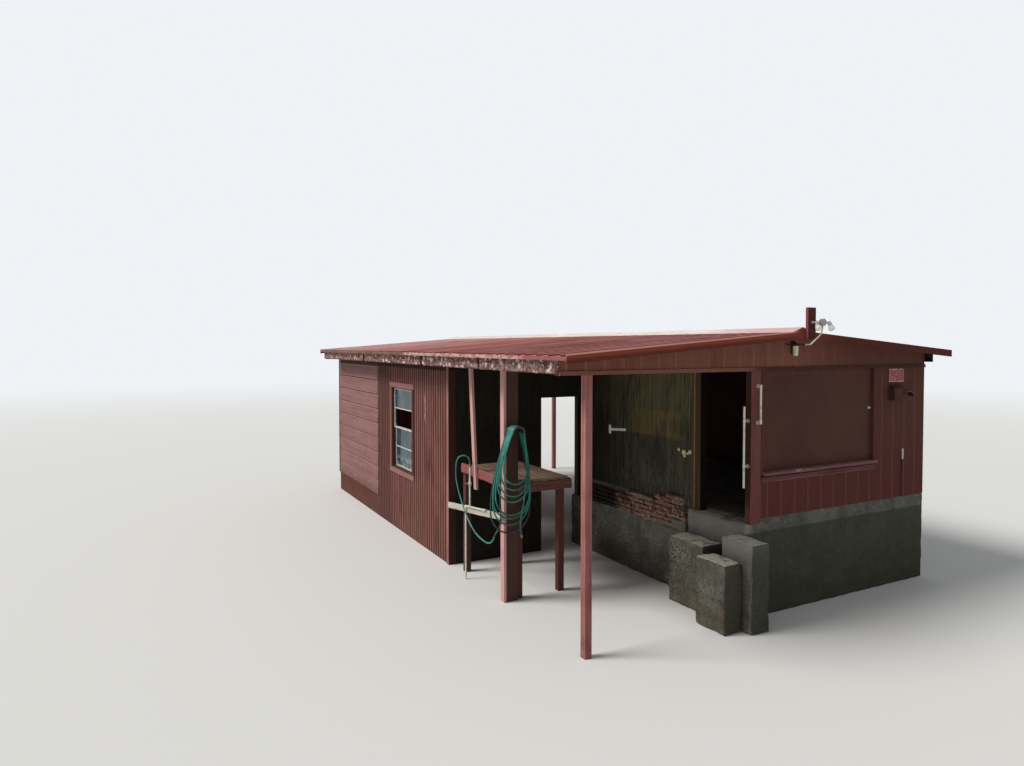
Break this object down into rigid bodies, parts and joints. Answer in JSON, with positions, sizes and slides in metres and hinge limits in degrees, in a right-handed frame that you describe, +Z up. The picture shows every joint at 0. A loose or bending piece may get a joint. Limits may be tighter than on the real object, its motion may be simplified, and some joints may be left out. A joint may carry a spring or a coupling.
{
  "type": "timber boathouse",
  "caption": "Low gabled timber boathouse with an open corner bay, a raised room with a shutter, lapped and grooved red siding and a ribbed metal roof.",
  "frame": {"origin": "middle of the plan at the level of the lowest ground, under the middle of the object's box", "axes": "+X along the gable wall to the right, +Y from the gable wall towards the lake end, +Z up"},
  "size_m": [6.635, 11.1418, 3.941],
  "materials": {
    "concrete": "weathered concrete with stains and worn arrises",
    "brick": "old clay bricks, chipped, with crumbling mortar",
    "red_siding": "grooved timber siding under faded barn-red paint",
    "lap_siding": "lapped hardboard boards under faded barn-red paint",
    "light_trim": "painted trim boards, bleached pinkish red",
    "post_paint": "square posts under barn-red paint",
    "shutter_paint": "smooth panel under dark brown-red paint",
    "bare_plywood": "unpainted grooved plywood, grey-brown with greenish stains",
    "grey_timber": "weathered framing timber",
    "peeling_fascia": "fascia boards with peeling paint",
    "roof_paint": "ribbed steel sheets, red paint gone chalky",
    "cap_metal": "bleached ridge cap",
    "window_paint": "off-white sashes, dusty",
    "window_panes": "thin window glass, dusty",
    "white_pipe": "white plastic pipe",
    "lamp_white": "white lamp housings",
    "rail_metal": "pale painted handrails with worn ends",
    "red_enamel": "red enamelled board and dark red box",
    "hose_green": "teal green garden hose, dusty",
    "brass_fitting": "dull brass couplings"
  },
  "bodies": {
    "root": {"foundation": "concrete", "room_floor": "concrete", "right_wall_base": "concrete", "brick_course": "brick", "step_blocks": "concrete", "posts": "post_paint", "pilaster": "post_paint", "gable_headers": "red_siding", "front_wall_low": "red_siding", "front_wall_right": "red_siding", "shutter_frame": "red_siding", "shutter_panel": "shutter_paint", "sill_boards": "light_trim", "partition_wall": "bare_plywood", "door_jambs": "bare_plywood", "bay_back_wall": "bare_plywood", "bay_back_header": "bare_plywood", "ribbed_wall_sides": "red_siding", "ribbed_wall_middle": "red_siding", "window_casing": "light_trim", "window_sashes": "window_paint", "window_glass": "window_panes", "lap_wall": "lap_siding", "base_skirt": "shutter_paint", "trim_boards": "light_trim", "back_wall": "red_siding", "right_wall": "red_siding", "wall_plates": "grey_timber", "rafters": "grey_timber", "ridge_beam": "grey_timber", "purlins": "grey_timber", "roof_sheets_left": "roof_paint", "roof_sheets_right": "roof_paint", "ridge_cap": "cap_metal", "rake_trims": "roof_paint", "eave_trims": "roof_paint", "fascia_boards": "peeling_fascia", "workbench": "post_paint", "bench_legs": "post_paint", "rail_board": "grey_timber", "water_pipes": "white_pipe", "peak_post": "post_paint", "lamps": "lamp_white", "sign_and_box": "red_enamel", "handrails": "rail_metal", "hose_hanger": "rail_metal", "hose_coil": "hose_green", "hose_run": "hose_green", "hose_ends": "brass_fitting"}
  },
  "joints": []
}
